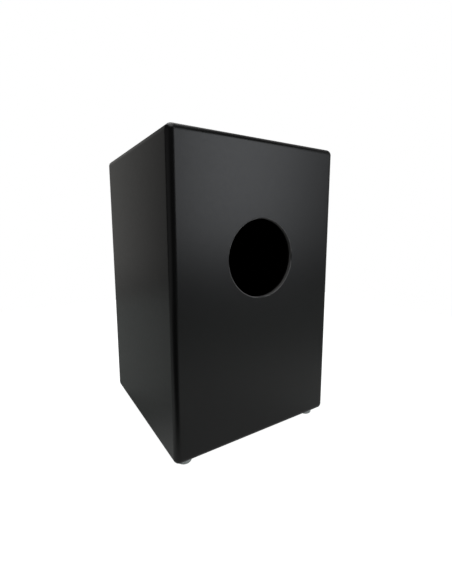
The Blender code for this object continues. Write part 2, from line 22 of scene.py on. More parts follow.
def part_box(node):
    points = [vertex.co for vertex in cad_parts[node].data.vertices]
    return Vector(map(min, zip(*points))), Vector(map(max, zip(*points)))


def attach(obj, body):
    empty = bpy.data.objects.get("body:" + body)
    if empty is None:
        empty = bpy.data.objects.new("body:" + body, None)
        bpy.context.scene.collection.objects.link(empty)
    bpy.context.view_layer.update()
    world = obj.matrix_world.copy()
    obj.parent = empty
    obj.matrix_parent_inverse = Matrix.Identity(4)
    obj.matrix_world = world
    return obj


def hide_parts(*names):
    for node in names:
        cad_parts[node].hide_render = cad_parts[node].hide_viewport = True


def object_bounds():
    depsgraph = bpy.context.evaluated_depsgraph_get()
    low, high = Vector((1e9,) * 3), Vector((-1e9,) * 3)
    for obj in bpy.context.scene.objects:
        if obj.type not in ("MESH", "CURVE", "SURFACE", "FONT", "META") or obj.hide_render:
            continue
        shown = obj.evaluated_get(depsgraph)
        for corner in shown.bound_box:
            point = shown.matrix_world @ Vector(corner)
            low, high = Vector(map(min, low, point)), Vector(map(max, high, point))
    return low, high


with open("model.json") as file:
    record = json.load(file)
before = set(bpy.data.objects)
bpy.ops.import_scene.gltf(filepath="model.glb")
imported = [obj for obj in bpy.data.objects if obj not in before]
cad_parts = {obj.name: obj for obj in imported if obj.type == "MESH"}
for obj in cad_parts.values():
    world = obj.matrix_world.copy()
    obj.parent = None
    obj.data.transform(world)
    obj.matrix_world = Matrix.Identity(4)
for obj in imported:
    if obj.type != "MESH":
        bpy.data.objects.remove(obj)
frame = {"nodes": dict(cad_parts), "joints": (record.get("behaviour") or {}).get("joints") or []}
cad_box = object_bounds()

LOG = logging.getLogger("cajon")

Triple = tuple[float, float, float]
Span = tuple[float, float]
Profile = list[tuple[float, float]]
Socket = bpy.types.NodeSocket

BOX = "box"
SNARE = "snare"
LOCK = "lock_screw"
SIDES = (("left", -1.0), ("right", 1.0))


class Axis(Enum):
    """The direction that something runs in."""

    X = (1.0, 0.0, 0.0)
    Y = (0.0, 1.0, 0.0)
    Z = (0.0, 0.0, 1.0)

    def drawn(self, length: float) -> Triple:
        """What stretches a pattern along this direction.

        Args:
            length: How much of the pattern's pace is left along it.

        Returns:
            What each coordinate is multiplied by.
        """
        return tuple(length if part else 1.0 for part in self.value)


# Materials


class Nodes:
    """The nodes of a material or of a world."""

    def __init__(self, owner: bpy.types.Material | bpy.types.World) -> None:
        """Starts an empty tree.

        Args:
            owner: What the nodes belong to.
        """
        owner.use_nodes = True
        self.tree = owner.node_tree
        self.tree.nodes.clear()

    def add(self, kind: str, **settings: object) -> bpy.types.Node:
        """Adds a node.

        Args:
            kind: The node's type, without the ShaderNode that each type name starts with.
            **settings: Properties of the node.

        Returns:
            The node.
        """
        node = self.tree.nodes.new(f"ShaderNode{kind}")
        for name, value in settings.items():
            setattr(node, name, value)
        return node

    def join(self, source: Socket, target: Socket) -> None:
        """Links one socket to another."""
        self.tree.links.new(source, target)

    def place(self) -> Socket:
        """Where on the piece a point lies, in the object's own axes."""
        return self.add("TexCoord").outputs["Object"]

    def times(self, first: Socket, second: Socket) -> Socket:
        """The product of two numbers.

        Args:
            first: One number.
            second: The other.

        Returns:
            The socket that gives the product.
        """
        node = self.add("Math", operation="MULTIPLY")
        self.join(first, node.inputs[0])
        self.join(second, node.inputs[1])
        return node.outputs["Value"]

    def scaled(self, colour: Triple, factor: Socket) -> Socket:
        """A fixed colour times a number.

        Args:
            colour: The colour.
            factor: The number.

        Returns:
            The socket that gives the result.
        """
        node = self.add("VectorMath", operation="SCALE")
        node.inputs[0].default_value = colour
        self.join(factor, node.inputs["Scale"])
        return node.outputs["Vector"]

    def span(
        self, value: Socket, low: float, high: float, across: Span = (0.0, 1.0), soft: bool = False
    ) -> Socket:
        """Stretches a number from one range to another.

        Args:
            value: The number.
            low: The result where the number is at the first end of its range.
            high: The result where it is at the other end.
            across: The two ends of its range.
            soft: Whether the change eases in and out.

        Returns:
            The socket that gives the result.
        """
        node = self.add("MapRange", interpolation_type="SMOOTHSTEP" if soft else "LINEAR")
        numbers = {"From Min": across[0], "From Max": across[1], "To Min": low, "To Max": high}
        for name, number in numbers.items():
            node.inputs[name].default_value = number
        self.join(value, node.inputs["Value"])
        return node.outputs["Result"]

    def seen_apart(self, lights: Socket, seen: Socket) -> Socket:
        """One shader for what the eye sees, and another for all other light.

        Args:
            lights: The shader that lights and is reflected.
            seen: The shader that is looked at directly.

        Returns:
            The socket that gives the shader.
        """
        node = self.add("MixShader")
        self.join(self.add("LightPath").outputs["Is Camera Ray"], node.inputs["Fac"])
        self.join(lights, node.inputs[1])
        self.join(seen, node.inputs[2])
        return node.outputs["Shader"]


class NodeSheet(Nodes):
    """The nodes of one finish, with a Principled shader at the end of them."""

    def __init__(self, material: bpy.types.Material) -> None:
        """Gives a material a shader and an output.

        Args:
            material: The material to lay out.
        """
        super().__init__(material)
        self.shader = self.add("BsdfPrincipled")
        output = self.add("OutputMaterial")
        self.join(self.shader.outputs["BSDF"], output.inputs["Surface"])

    def noise(
        self,
        scale: float,
        detail: float,
        stretch: Triple = (1.0, 1.0, 1.0),
        warp: float = 0.0,
    ) -> Socket:
        """A cloudy pattern between 0 and 1.

        Args:
            scale: Clouds to a metre.
            detail: How many finer layers it has.
            stretch: What each coordinate is multiplied by.
            warp: How far it is distorted.

        Returns:
            The socket that gives the pattern.
        """
        mapping = self.add("Mapping")
        mapping.inputs["Scale"].default_value = stretch
        self.join(self.place(), mapping.inputs["Vector"])
        node = self.add("TexNoise")
        node.inputs["Scale"].default_value = scale
        node.inputs["Detail"].default_value = detail
        node.inputs["Distortion"].default_value = warp
        self.join(mapping.outputs["Vector"], node.inputs["Vector"])
        return node.outputs["Fac"]

    def blend(self, share: Socket, first: Triple, second: Triple) -> Socket:
        """A colour that passes from one to another.

        Args:
            share: 0 for the first colour, 1 for the second.
            first: The first colour.
            second: The second colour.

        Returns:
            The socket that gives the colour.
        """
        node = self.add("Mix", data_type="RGBA")
        node.inputs["A"].default_value = (*first, 1.0)
        node.inputs["B"].default_value = (*second, 1.0)
        self.join(share, node.inputs["Factor"])
        return node.outputs["Result"]

    def bump(self, height: Socket, depth: float, under: Socket | None = None) -> Socket:
        """Surface relief from a pattern.

        Args:
            height: The pattern.
            depth: The relief's depth in metres.
            under: The relief that this one lies on, if any.

        Returns:
            The socket that gives the surface's direction.
        """
        node = self.add("Bump")
        node.inputs["Distance"].default_value = depth
        self.join(height, node.inputs["Height"])
        if under is not None:
            self.join(under, node.inputs["Normal"])
        return node.outputs["Normal"]

    def dress(self, colour: Socket, roughness: Socket, normal: Socket) -> None:
        """Gives the shader its colour, roughness and relief.

        Args:
            colour: The colour.
            roughness: The roughness.
            normal: The surface's direction.
        """
        self.join(colour, self.shader.inputs["Base Color"])
        self.join(roughness, self.shader.inputs["Roughness"])
        self.join(normal, self.shader.inputs["Normal"])


@dataclass(frozen=True)
class Finish:
    """A surface finish, which makes its material once."""

    name: str
    slot: str

    def material(self) -> bpy.types.Material:
        """The finish as a material, made at its first use.

        Returns:
            The material.
        """
        found = bpy.data.materials.get(self.name)
        if found is None:
            found = bpy.data.materials.new(self.name)
            self.paint(NodeSheet(found))
        return found

    def paint(self, sheet: NodeSheet) -> None:
        """Lays the finish's nodes out on a sheet."""
        raise NotImplementedError(self.name)


@dataclass(frozen=True)
class Lacquer(Finish):
    """Sprayed black lacquer, with faint mottling and orange peel."""

    colour: Triple = (0.0030, 0.0030, 0.0031)
    bloom: Triple = (0.0046, 0.0046, 0.0047)
    roughness: float = 0.30
    mottle: float = 0.03
    peel: float = 0.000006
    waviness: float = 0.00003
    clouds: float = 14.0
    specks: float = 190.0
    waves: float = 30.0
    dimples: float = 900.0

    def paint(self, sheet: NodeSheet) -> None:
        """Clouds the colour and the gloss, and adds a fine peel over a slow waviness.

        Args:
            sheet: Where the nodes go.
        """
        clouds = sheet.noise(self.clouds, detail=4.0)
        colour = sheet.blend(sheet.span(clouds, 0.0, 1.0, (0.3, 0.7)), self.colour, self.bloom)
        specks = sheet.noise(self.specks, detail=2.0)
        roughness = sheet.span(specks, self.roughness - self.mottle, self.roughness + self.mottle)
        waves = sheet.bump(sheet.noise(self.waves, detail=1.0), self.waviness)
        peel = sheet.bump(sheet.noise(self.dimples, detail=2.0), self.peel, waves)
        sheet.dress(colour, roughness, peel)


@dataclass(frozen=True)
class StainedWood(Finish):
    """Wood under a dark stain, with its grain and pores running along one axis."""

    dark: Triple = (0.016, 0.014, 0.013)
    light: Triple = (0.040, 0.035, 0.031)
    grain: Axis = Axis.Z
    bands: float = 60.0
    roughness: float = 0.5
    pores: float = 0.00008
    pores_to_a_band: float = 16.0
    band_pace: float = 0.10
    pore_pace: float = 0.03
    gloss: Span = (-0.08, 0.10)

    def paint(self, sheet: NodeSheet) -> None:
        """Draws wavy growth bands and long fine pores.

        Args:
            sheet: Where the nodes go.
        """
        bands, fine = self.grain.drawn(self.band_pace), self.grain.drawn(self.pore_pace)
        figure = sheet.noise(self.bands, detail=5.0, stretch=bands, warp=0.6)
        pores = sheet.noise(self.bands * self.pores_to_a_band, detail=3.0, stretch=fine)
        colour = sheet.blend(sheet.span(figure, 0.0, 1.0, (0.35, 0.65)), self.dark, self.light)
        smooth, rough = (self.roughness + change for change in self.gloss)
        roughness = sheet.span(pores, smooth, rough)
        under = sheet.bump(figure, self.pores)
        sheet.dress(colour, roughness, sheet.bump(pores, self.pores, under))


@dataclass(frozen=True)
class Metal(Finish):
    """Plain or plated metal with fine draw marks and a little tarnish."""

    colour: Triple = (0.62, 0.62, 0.60)
    tarnish: Triple = (0.50, 0.50, 0.48)
    roughness: float = 0.28
    marks: Axis = Axis.Z
    clouds: float = 260.0
    scratches: float = 4200.0
    scratch_pace: float = 0.05
    scratch_depth: float = 0.000008
    gloss: Span = (-0.08, 0.12)

    def paint(self, sheet: NodeSheet) -> None:
        """Clouds the colour, and scratches the gloss along one axis.

        Args:
            sheet: Where the nodes go.
        """
        sheet.shader.inputs["Metallic"].default_value = 1.0
        clouds = sheet.noise(self.clouds, detail=4.0)
        drawn = self.marks.drawn(self.scratch_pace)
        scratches = sheet.noise(self.scratches, detail=2.0, stretch=drawn)
        colour = sheet.blend(sheet.span(clouds, 0.0, 1.0, (0.4, 0.7)), self.colour, self.tarnish)
        smooth, rough = (self.roughness + change for change in self.gloss)
        roughness = sheet.span(scratches, smooth, rough)
        sheet.dress(colour, roughness, sheet.bump(scratches, self.scratch_depth))


@dataclass(frozen=True)
class Rubber(Finish):
    """Moulded rubber with a fine grain and scuffs."""

    colour: Triple = (0.62, 0.67, 0.655)
    scuff: Triple = (0.70, 0.75, 0.735)
    roughness: float = 0.42
    patches: float = 320.0
    grain: float = 5200.0
    grain_depth: float = 0.00003
    gloss: Span = (-0.06, 0.12)

    def paint(self, sheet: NodeSheet) -> None:
        """Pales the scuffed patches and roughens the whole.

        Args:
            sheet: Where the nodes go.
        """
        patches = sheet.noise(self.patches, detail=4.0)
        grain = sheet.noise(self.grain, detail=2.0)
        colour = sheet.blend(sheet.span(patches, 0.0, 1.0, (0.5, 0.8)), self.colour, self.scuff)
        smooth, rough = (self.roughness + change for change in self.gloss)
        roughness = sheet.span(patches, smooth, rough)
        sheet.dress(colour, roughness, sheet.bump(grain, self.grain_depth))


OUTER_LACQUER = Lacquer("satin_black_lacquer", "black_lacquer")
INNER_PAINT = Lacquer(
    "matt_black_inside",
    "black_lacquer",
    colour=(0.0016, 0.0016, 0.0016),
    bloom=(0.0024, 0.0024, 0.0024),
    roughness=0.85,
)
PORT_WALL = Lacquer(
    "thin_paint_in_port",
    "black_lacquer",
    colour=(0.15, 0.15, 0.15),
    bloom=(0.21, 0.21, 0.21),
    roughness=0.6,
)
TAPA_STAIN = StainedWood("stained_tapa_veneer", "black_tapa", roughness=0.42, bands=48.0)
TAPA_BACK = StainedWood("bare_tapa_back", "black_tapa", roughness=0.7, bands=48.0)
UPRIGHT_STRIP = StainedWood("strip_grain_upright", "stained_strip", roughness=0.75)
LEVEL_STRIP = StainedWood("strip_grain_level", "stained_strip", grain=Axis.X, roughness=0.75)
BEECH = StainedWood(
    "stained_beech",
    "stained_hardwood",
    dark=(0.010, 0.008, 0.006),
    light=(0.026, 0.020, 0.015),
    grain=Axis.X,
    bands=110.0,
    roughness=0.6,
)
BLACK_OXIDE = Metal(
    "black_oxide_steel",
    "black_steel",
    colour=(0.022, 0.022, 0.024),
    tarnish=(0.040, 0.038, 0.036),
    roughness=0.34,
)
BRIGHT_STEEL = Metal("bright_steel_plate", "bright_steel")
BRASS = Metal(
    "turned_brass", "brass", colour=(0.68, 0.50, 0.20), tarnish=(0.42, 0.29, 0.11), roughness=0.3
)
GREY_RUBBER = Rubber("grey_foot_rubber", "grey_rubber")


# Shaping

# How near two points are to become one, and how near a point is to a plane to lie in it.
MERGE = 1e-7
LEVEL = 1e-6
# How near a face is to a plane to take the finish of that plane.
SKIN = 0.0002
# The gap that two pieces keep where one bears on the other.
GAP = 0.0003
BOX_FACES = 6


def lies_level(verts: Iterable[bmesh.types.BMVert], axis: int, level: float) -> bool:
    """Whether all the vertices lie in a plane across an axis, 0 to 2, at a level."""
    return all(abs(vert.co[axis] - level) < LEVEL for vert in verts)


def edges_at(verts: Iterable[bmesh.types.BMVert]) -> list[bmesh.types.BMEdge]:
    """The edges that end at the vertices, each once and always in the same order."""
    return list(dict.fromkeys(edge for vert in verts for edge in vert.link_edges))


def new_ones(made: dict[str, list], kind: type) -> list:
    """What a bmesh operator made, of one kind only."""
    return [part for part in made["geom"] if isinstance(part, kind)]


class Mould:
    """A bmesh being shaped into one piece, placed where the piece belongs."""

    def __init__(self) -> None:
        """Starts with nothing in it."""
        self.shape = bmesh.new()

    def all(self) -> list[bmesh.types.BMVert | bmesh.types.BMEdge | bmesh.types.BMFace]:
        """Everything in the shape."""
        return [*self.shape.verts, *self.shape.edges, *self.shape.faces]

    def rounded_box(
        self, low: Vector, high: Vector, radius: float, segments: int, border: float = 0.0
    ) -> None:
        """Adds a box with rounded edges.

        Args:
            low: Its lowest corner.
            high: Its highest corner.
            radius: The rounding of its edges.
            segments: Facets across each rounding.
            border: Width of a flat band kept round each face, which keeps the shading of the
                rounding off the rest of the face.
        """
        place = Matrix.Translation((low + high) / 2) @ Matrix.Diagonal((*(high - low), 1.0))
        made = bmesh.ops.create_cube(self.shape, size=1.0, matrix=place)
        bmesh.ops.bevel(
            self.shape,
            geom=edges_at(made["verts"]),
            affect="EDGES",
            offset=radius,
            segments=segments,
            profile=0.5,
            material=-1,
        )
        if border:
            smallest = sorted(face.calc_area() for face in self.shape.faces)[-BOX_FACES]
            flats = [face for face in self.shape.faces if face.calc_area() >= smallest]
            bmesh.ops.inset_individual(self.shape, faces=flats, thickness=border)

    def close(self) -> None:
        """Fills every open loop."""
        rims = [edge for edge in self.shape.edges if edge.is_boundary]
        bmesh.ops.holes_fill(self.shape, edges=rims, sides=0)

    def finish_mesh(self, name: str) -> bpy.types.Mesh:
        """Turns the shape into a mesh with its faces outwards, and ends the mould.

        Args:
            name: The mesh's name.

        Returns:
            The mesh.
        """
        bmesh.ops.remove_doubles(self.shape, verts=self.shape.verts, dist=MERGE)
        bmesh.ops.recalc_face_normals(self.shape, faces=self.shape.faces)
        mesh = bpy.data.meshes.new(name)
        self.shape.to_mesh(mesh)
        self.shape.free()
        return mesh

    def cut_away(self, point: Triple, outward: Triple, close: bool = True) -> None:
        """Removes what lies past a plane.

        Args:
            point: A point of the plane.
            outward: The plane's direction, towards what goes.
            close: Whether the cut is closed with a face.
        """
        bmesh.ops.bisect_plane(
            self.shape,
            geom=self.all(),
            dist=MERGE,
            plane_co=point,
            plane_no=outward,
            clear_outer=True,
        )
        if close:
            self.close()

    def score(self, point: Triple, outward: Triple) -> None:
        """Splits the faces along a plane, and removes nothing.

        Args:
            point: A point of the plane.
            outward: The plane's direction.
        """
        bmesh.ops.bisect_plane(
            self.shape, geom=self.all(), dist=MERGE, plane_co=point, plane_no=outward
        )

    def turned(
        self, profile: Profile, place: Matrix, steps: int, ring: bool = False
    ) -> list[bmesh.types.BMVert]:
        """Adds a profile turned about the local Z axis.

        Args:
            profile: Points as (radius, height).
            place: Where the local axes stand.
            steps: Facets round the axis.
            ring: Whether the last point joins the first.

        Returns:
            The new vertices.
        """
        before = set(self.shape.verts)
        points = [self.shape.verts.new((radius, 0.0, height)) for radius, height in profile]
        edges = self.joined(points, ring)
        bmesh.ops.spin(
            self.shape,
            geom=[*points, *edges],
            cent=(0.0, 0.0, 0.0),
            axis=(0.0, 0.0, 1.0),
            angle=math.tau,
            steps=steps,
            use_merge=True,
        )
        made = [vert for vert in self.shape.verts if vert not in before]
        bmesh.ops.transform(self.shape, matrix=place, verts=made)
        bmesh.ops.remove_doubles(self.shape, verts=made, dist=MERGE)
        return [vert for vert in self.shape.verts if vert not in before]

    def joined(self, points: list[bmesh.types.BMVert], ring: bool) -> list[bmesh.types.BMEdge]:
        """Draws the edges from each point to the next.

        Args:
            points: The points in order.
            ring: Whether the last point joins the first.

        Returns:
            The new edges.
        """
        ends = points[1:] + points[:1] if ring else points[1:]
        return [self.shape.edges.new(pair) for pair in zip(points, ends)]

    def fill_level(self, axis: int, level: float) -> None:
        """Fills between the open loops that lie in one plane, and leaves the holes open.

        Args:
            axis: The plane's direction, 0 to 2.
            level: Where the plane crosses that axis.
        """
        edges = [
            edge
            for edge in self.shape.edges
            if edge.is_boundary and lies_level(edge.verts, axis, level)
        ]
        bmesh.ops.triangle_fill(self.shape, use_beauty=True, use_dissolve=False, edges=edges)

    def open_level(self, axis: int, level: float) -> None:
        """Removes the largest face that lies in one plane.

        Args:
            axis: The plane's direction, 0 to 2.
            level: Where the plane crosses that axis.
        """
        flat = [face for face in self.shape.faces if lies_level(face.verts, axis, level)]
        largest = max(flat, key=lambda face: face.calc_area())
        bmesh.ops.delete(self.shape, geom=[largest], context="FACES")

    def piece(
        self,
        name: str,
        finish: Finish,
        body: str,
        stands_for: Iterable[str] = (),
        crease: float = 32.0,
    ) -> bpy.types.Object:
        """Turns the shape into a piece of the object that rides on a CAD body.

        Args:
            name: The piece's name.
            finish: What its faces are finished with.
            body: The CAD body that it rides on.
            stands_for: The CAD nodes that it replaces.
            crease: The angle in degrees from which an edge stays sharp.

        Returns:
            The piece.
        """
        mesh = self.finish_mesh(name)
        mesh.shade_smooth()
        mesh.set_sharp_from_angle(angle=math.radians(crease))
        mesh.materials.append(finish.material())
        made = bpy.data.objects.new(name, mesh)
        bpy.context.scene.collection.objects.link(made)
        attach(made, body)
        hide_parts(*stands_for)
        LOG.info("%s: %d faces, on %s", name, len(mesh.polygons), body)
        return made


def also_finish(piece: bpy.types.Object, finish: Finish, low: Vector, high: Vector) -> None:
    """Gives another finish to the faces whose middle lies within a box.

    Args:
        piece: The piece.
        finish: The other finish.
        low: The box's lowest corner.
        high: The box's highest corner.
    """
    piece.data.materials.append(finish.material())
    for face in piece.data.polygons:
        if all(low[i] < face.center[i] < high[i] for i in range(3)):
            face.material_index = len(piece.data.materials) - 1


def finish_level(
    piece: bpy.types.Object, finish: Finish, axis: int, level: float, reach: float = 1.0
) -> None:
    """Gives another finish to the faces that lie in one plane.

    Args:
        piece: The piece.
        finish: The other finish.
        axis: The plane's direction, 0 to 2.
        level: Where the plane crosses that axis.
        reach: How far to each side of the middle it goes, along X.
    """
    slack = Vector((reach, 1.0, 1.0))
    slack[axis] = SKIN
    near = Vector()
    near[axis] = level
    also_finish(piece, finish, near - slack, near + slack)


def facing(place: Vector | Triple, direction: Vector | Triple) -> Matrix:
    """Stands local axes at a place with +Z turned to a direction.

    Args:
        place: Where the origin goes.
        direction: Where +Z points.

    Returns:
        The matrix that does it.
    """
    turn = Vector((0.0, 0.0, 1.0)).rotation_difference(Vector(direction))
    return Matrix.Translation(place) @ turn.to_matrix().to_4x4()


def arc(
    centre: tuple[float, float], radius: float, start: float, end: float, segments: int
) -> Profile:
    """Points along an arc of a profile.

    Args:
        centre: The arc's centre as (radius, height).
        radius: The arc's radius.
        start: Its first angle in degrees, from the outward side.
        end: Its last angle in degrees.
        segments: How many steps it has.

    Returns:
        The points, both ends included.
    """
    turns = [math.radians(start + (end - start) * i / segments) for i in range(segments + 1)]
    return [
        (centre[0] + radius * math.cos(turn), centre[1] + radius * math.sin(turn))
        for turn in turns
    ]


def middle(node: str) -> Vector:
    """The middle of a CAD node's box."""
    low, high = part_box(node)
    return (low + high) / 2


def dress(node: str, finish: Finish) -> None:
    """Gives a CAD node that stays in view a better material.

    Args:
        node: The node's name.
        finish: Its finish.
    """
    for place in frame["nodes"][node].material_slots:
        place.material = finish.material()
    LOG.info("%s: CAD solid in %s", node, finish.name)


# The drum's sub-assemblies


@dataclass
class Shell:
    """The five lacquered boards, cut from one rounded block so that their edges run on."""

    edge_radius: float = 0.0094
    edge_facets: int = 14
    flat_border: float = 0.0004
    port_radius: float = 0.060
    port_lip: float = 0.0012
    port_flat: float = 0.0024
    port_sheen: float = 0.0052
    port_steps: int = 160
    lip_facets: int = 8
    back_facets: int = 6
    port_slack: float = 0.00012
    port_search: float = 1.05
    margin: float = 0.028
    low: Vector = field(default_factory=Vector)
    high: Vector = field(default_factory=Vector)

    def build(self) -> None:
        """Measures the block on the frame and makes each board."""
        self.low, self.high = Vector(cad_box[0]), Vector(cad_box[1])
        self.low.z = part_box("bottom_panel")[0].z
        for side, sign in SIDES:
            self.side_board(side, sign)
        self.end_board("top_panel", 1.0)
        self.end_board("bottom_panel", -1.0)
        self.rear_board()

    def block(self) -> Mould:
        """The whole rounded block.

        Returns:
            A mould with the block in it.
        """
        mould = Mould()
        mould.rounded_box(
            self.low, self.high, self.edge_radius, self.edge_facets, self.flat_border
        )
        return mould

    def between_faces(self, mould: Mould) -> Mould:
        """Trims a mould to the depth between the tapa and the rear board.

        Args:
            mould: The mould to trim.

        Returns:
            The same mould.
        """
        mould.cut_away((0.0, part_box("tapa")[1].y, 0.0), (0.0, -1.0, 0.0))
        mould.cut_away((0.0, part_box("rear_panel")[0].y, 0.0), (0.0, 1.0, 0.0))
        return mould

    def side_board(self, side: str, sign: float) -> None:
        """One side, between the lips of the top and the bottom.

        Args:
            side: left or right.
            sign: Which way it lies along X.
        """
        node = f"{side}_side_panel"
        low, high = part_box(node)
        inner = low.x if sign > 0 else high.x
        mould = self.between_faces(self.block())
        mould.cut_away((inner, 0.0, 0.0), (-sign, 0.0, 0.0))
        mould.cut_away((0.0, 0.0, self.seam(1.0)), (0.0, 0.0, 1.0))
        mould.cut_away((0.0, 0.0, self.seam(-1.0)), (0.0, 0.0, -1.0))
        board = mould.piece(f"{side}_side_board", OUTER_LACQUER, BOX, [node])
        finish_level(board, INNER_PAINT, 0, inner)

    def seam(self, sign: float) -> float:
        """The height where a side board meets the lip of the top or the bottom.

        Args:
            sign: 1 for the top, -1 for the bottom.

        Returns:
            The height.
        """
        low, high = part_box("left_side_panel")
        return high.z if sign > 0 else low.z

    def end_board(self, node: str, sign: float) -> None:
        """The top or the bottom, with a rabbet at each side for the side boards.

        Args:
            node: The CAD node that it stands for.
            sign: 1 for the top, -1 for the bottom.
        """
        low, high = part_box(node)
        inner = low.z if sign > 0 else high.z
        seam = self.seam(sign)
        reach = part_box("right_side_panel")[0].x
        mould = self.between_faces(self.block())
        mould.cut_away((0.0, 0.0, seam), (0.0, 0.0, -sign))
        for side in (-1.0, 1.0):
            mould.score((side * reach, 0.0, 0.0), (side, 0.0, 0.0))
        under = [
            face
            for face in mould.shape.faces
            if lies_level(face.verts, 2, seam)
            and all(abs(vert.co.x) < reach + LEVEL for vert in face.verts)
        ]
        made = bmesh.ops.extrude_face_region(mould.shape, geom=under)
        bmesh.ops.delete(mould.shape, geom=under, context="FACES_ONLY")
        moved = new_ones(made, bmesh.types.BMVert)
        bmesh.ops.translate(mould.shape, verts=moved, vec=(0.0, 0.0, inner - seam))
        board = mould.piece(node.replace("panel", "board"), OUTER_LACQUER, BOX, [node])
        finish_level(board, INNER_PAINT, 2, inner, reach)

    def rear_board(self) -> None:
        """The rear board, with its round port."""
        inner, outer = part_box("rear_panel")[0].y, self.high.y
        mould = self.block()
        mould.cut_away((0.0, inner, 0.0), (0.0, -1.0, 0.0))
        for level in (inner, outer):
            mould.open_level(1, level)
        lip, radius = self.port_lip, self.port_radius
        wide = radius + self.port_flat
        thick = outer - inner
        profile = [
            (wide, thick),
            *arc((radius + lip, thick - lip), lip, 90, 180, self.lip_facets),
            (radius, thick - self.port_sheen),
            *arc((radius + lip, lip), lip, 180, 270, self.back_facets),
            (wide, 0.0),
        ]
        centre = Vector((0.0, inner, self.port_height()))
        mould.turned(profile, facing(centre, (0.0, 1.0, 0.0)), self.port_steps)
        for level in (inner, outer):
            mould.fill_level(1, level)
        board = mould.piece("rear_board", OUTER_LACQUER, BOX, ["rear_panel"])
        reach = radius + self.port_slack
        low = centre + Vector((-reach, thick - self.port_sheen, -reach))
        high = centre + Vector((reach, thick, reach))
        also_finish(board, PORT_WALL, low, high)
        finish_level(board, INNER_PAINT, 1, inner)

    def port_height(self) -> float:
        """The port's height above the floor, found as the middle of its wall in the CAD panel.

        Returns:
            The height.
        """
        held = frame["nodes"]["rear_panel"].data.vertices
        reach = self.port_radius * self.port_search
        wall = [vert.co.z for vert in held if abs(vert.co.x) < reach and self.inside(vert.co.z)]
        return (min(wall) + max(wall)) / 2

    def inside(self, height: float) -> bool:
        """Whether a height lies well within the board, away from its edges."""
        return self.low.z + self.margin < height < self.high.z - self.margin


@dataclass
class CrossScrew:
    """A screw with a cross recess. Its head faces local +Z, and bears at height 0."""

    length: float
    shank: float
    head: float
    cross: float
    depth: float
    crown: float = 0.0
    finish: Finish = BLACK_OXIDE
    crown_flat: float = 0.62
    crown_rim: float = 0.35
    crown_steps: int = 6
    rim: float = 0.0003
    rim_soft: Span = (0.00015, 0.0001)
    cross_taper: float = 0.6
    slot_share: float = 0.125
    steps: int = 36

    def profile(self) -> Profile:
        """The outline from the flat of the head down to the tip.

        Returns:
            Points as (radius, height).
        """
        tip = [(self.shank, 2 * self.shank - self.length), (0.0, -self.length)]
        if self.crown:
            return [*self.dome(), (self.head, 0.0), (self.shank, 0.0), *tip]
        across, down = self.rim_soft
        return [
            (self.head - across, 0.0),
            (self.head, -down),
            (self.head, -self.rim),
            (self.shank, -self.rim - (self.head - self.shank)),
            *tip,
        ]

    def dome(self) -> Profile:
        """A domed head's outline, from its small flat down to its rim.

        Returns:
            Points as (radius, height).
        """
        flat = self.crown_flat * self.head
        points = []
        for step in range(self.crown_steps + 1):
            turn = math.radians(90 / self.crown_steps * step)
            rise = self.crown_rim + (1.0 - self.crown_rim) * math.cos(turn)
            points.append((flat + (self.head - flat) * math.sin(turn), self.crown * rise))
        return points

    def add_to(self, mould: Mould, place: Matrix) -> None:
        """Adds the screw to a mould.

        Args:
            mould: Where it goes.
            place: Where its local axes stand.
        """
        outline = self.profile()
        top = outline[0][1]
        made = mould.turned(outline, Matrix.Identity(4), self.steps)
        corners = [mould.shape.verts.new(point) for point in self.cross_outline(top)]
        rim = mould.joined(corners, ring=True)
        flat = [vert for vert in made if abs(vert.co.z - top) < MERGE]
        round_edge = [edge for edge in edges_at(flat) if edge.is_boundary]
        bmesh.ops.triangle_fill(
            mould.shape, use_beauty=True, use_dissolve=False, edges=[*round_edge, *rim]
        )
        walls = bmesh.ops.extrude_edge_only(mould.shape, edges=rim)
        low = new_ones(walls, bmesh.types.BMVert)
        taper = Matrix.Diagonal((self.cross_taper, self.cross_taper, 1.0, 1.0))
        sink = Matrix.Translation((0.0, 0.0, -self.depth)) @ taper
        bmesh.ops.transform(mould.shape, matrix=sink, verts=low)
        floor = [edge for edge in new_ones(walls, bmesh.types.BMEdge) if edge.is_boundary]
        bmesh.ops.holes_fill(mould.shape, edges=floor, sides=0)
        bmesh.ops.transform(mould.shape, matrix=place, verts=[*made, *corners, *low])

    def cross_outline(self, top: float) -> list[Vector]:
        """The corners of the cross, in order round it.

        Args:
            top: The height of the head's flat.

        Returns:
            The corners.
        """
        half, slot = self.cross / 2, self.cross * self.slot_share
        arm = [Vector((x, -y, top)) for x, y in ((slot, slot), (half, slot), (half, -slot))]
        turns = [Matrix.Rotation(math.radians(90 * i), 4, "Z") for i in range(4)]
        return [turn @ corner for turn in turns for corner in arm]

    def fasten(self, node: str, place: Matrix, body: str) -> None:
        """Makes the screw as a piece that stands for a CAD node.

        Args:
            node: The CAD node.
            place: Where its local axes stand.
            body: The body that it rides on.
        """
        mould = Mould()
        self.add_to(mould, place)
        mould.piece(f"{node}_steel", self.finish, body, [node])


def heads_along(node: str, axis: int, sign: float) -> Vector:
    """The middle of the face of a screw's head, from its CAD node.

    Args:
        node: The node.
        axis: The axis that the screw lies along, 0 to 2.
        sign: Which way its head faces along it.

    Returns:
        The point.
    """
    low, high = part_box(node)
    place = (low + high) / 2
    place[axis] = high[axis] if sign > 0 else low[axis]
    return place


